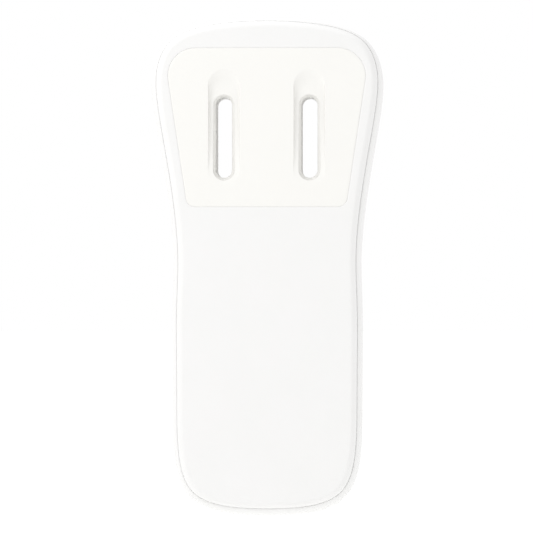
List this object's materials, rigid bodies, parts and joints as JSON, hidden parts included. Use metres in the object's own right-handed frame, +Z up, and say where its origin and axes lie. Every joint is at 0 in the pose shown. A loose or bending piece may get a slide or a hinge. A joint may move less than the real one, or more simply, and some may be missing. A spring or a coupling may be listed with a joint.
{
  "type": "apex locator",
  "caption": "Hand-held dental apex locator in a waisted white case, with slots through its head to hang it on a rail.",
  "frame": {"origin": "on the flat rear face, midway between the upper ends of the hanging slots, where the hooks of a rail carry the object", "axes": "+Z up along the case towards its head, +Y out of the display side, -Y out of the rear face, +X to the right when the rear is seen"},
  "size_m": [0.07, 0.0226, 0.15],
  "materials": {
    "white_abs": "satin moulded ABS",
    "cover_abs": "satin moulded ABS",
    "panel_abs": "fine matt moulded ABS, slightly warmer white",
    "grey_rubber": "matt silicone rubber",
    "pale_silicone": "matt silicone rubber",
    "steel": "plain steel",
    "nickel": "nickel plated",
    "window_acrylic": "gloss smoked acrylic",
    "display_glass": "gloss liquid crystal cell, switched off",
    "black_plastic": "matt black plastic",
    "diffuser": "milky plastic",
    "board_green": "solder mask on glass fibre board",
    "polyimide": "amber film",
    "cell_foil": "aluminium foil pouch",
    "foam": "black foam",
    "ferrite": "ferrite with black tape",
    "key_grey": "matt grey plastic",
    "red_wire": "PVC insulation",
    "black_wire": "PVC insulation",
    "clear_lens": "clear moulded plastic"
  },
  "bodies": {
    "case": {"front_housing": "white_abs", "rear_cover": "cover_abs", "case_seal": "pale_silicone", "case_screw_1": "steel", "case_screw_2": "steel", "case_screw_3": "steel", "case_screw_4": "steel", "board_screw_1": "steel", "board_screw_2": "steel", "display_window": "window_acrylic", "lcd_frame": "black_plastic", "lcd_glass": "display_glass", "backlight": "diffuser", "lcd_flex": "polyimide", "main_board": "board_green", "microcontroller": "black_plastic", "measuring_chip": "black_plastic", "charge_chip": "black_plastic", "crystal": "nickel", "isolating_transformer": "ferrite", "capacitor_1": "cell_foil", "capacitor_2": "cell_foil", "status_led": "clear_lens", "light_pipe": "clear_lens", "buzzer": "black_plastic", "battery_cell": "cell_foil", "battery_foam": "foam", "battery_plug": "diffuser", "battery_lead_1": "red_wire", "battery_lead_2": "black_wire", "switch_power": "black_plastic", "switch_volume": "black_plastic", "switch_set": "black_plastic", "charge_socket": "nickel", "lead_socket": "black_plastic", "lead_socket_nut": "nickel"},
    "panel": {"hanger_panel": "panel_abs"},
    "power_key": {"key_power": "key_grey"},
    "volume_key": {"key_volume": "key_grey"},
    "set_key": {"key_set": "key_grey"},
    "charge_cover": {"port_cover": "grey_rubber"}
  },
  "joints": [
    {"name": "panel_lift_off", "type": "slide", "parent": "case", "child": "panel", "axis": [0, -1, 0], "range_m": [0, 0.026]},
    {"name": "power_key_press", "type": "slide", "parent": "case", "child": "power_key", "axis": [0, -1, 0], "range_m": [0, 0.0006], "stiffness_N_per_m": 1500},
    {"name": "volume_key_press", "type": "slide", "parent": "case", "child": "volume_key", "axis": [0, -1, 0], "range_m": [0, 0.0006], "stiffness_N_per_m": 1500},
    {"name": "set_key_press", "type": "slide", "parent": "case", "child": "set_key", "axis": [0, -1, 0], "range_m": [0, 0.0006], "stiffness_N_per_m": 1500},
    {"name": "charge_cover_hinge", "type": "hinge", "parent": "case", "child": "charge_cover", "pos_m": [-0.0129, 0.012, -0.125], "axis": [0, 1, 0], "range_deg": [0, 100]}
  ]
}
